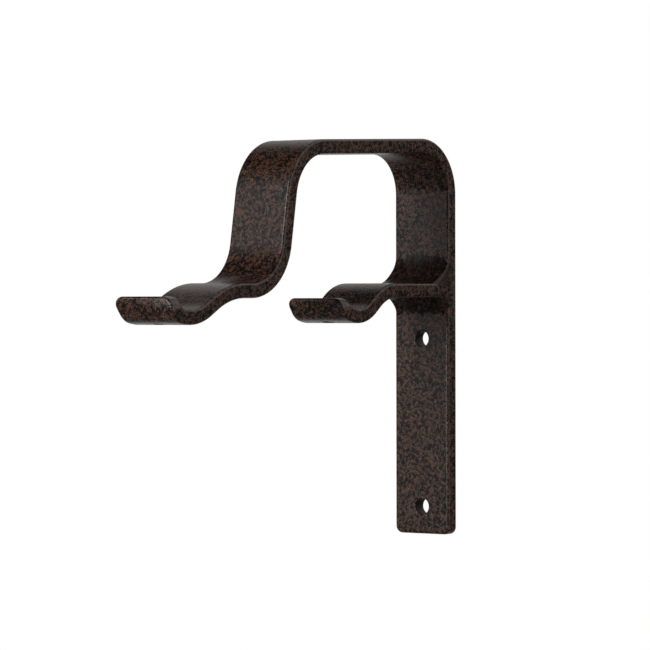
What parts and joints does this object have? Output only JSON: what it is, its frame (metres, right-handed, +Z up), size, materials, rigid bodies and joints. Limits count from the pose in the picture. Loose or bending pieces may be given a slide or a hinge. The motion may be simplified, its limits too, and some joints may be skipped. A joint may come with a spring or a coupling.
{
  "type": "curtain pole bracket",
  "caption": "Welded flat-bar wall bracket that carries an inner and an outer curtain pole in open cradles at the same height.",
  "frame": {"origin": "midway between the two wall screw holes, on the face that lies against the wall", "axes": "+X across the bar, +Y into the wall with the arms reaching out towards -Y, +Z up"},
  "size_m": [0.025, 0.1686, 0.1495],
  "materials": {
    "powder_coat": "satin antique powder coat, charcoal black mottled with fine copper brown veins"
  },
  "bodies": {
    "root": {"wall_strap": "powder_coat", "inner_arm": "powder_coat", "weld_fillet": "powder_coat"}
  },
  "joints": []
}
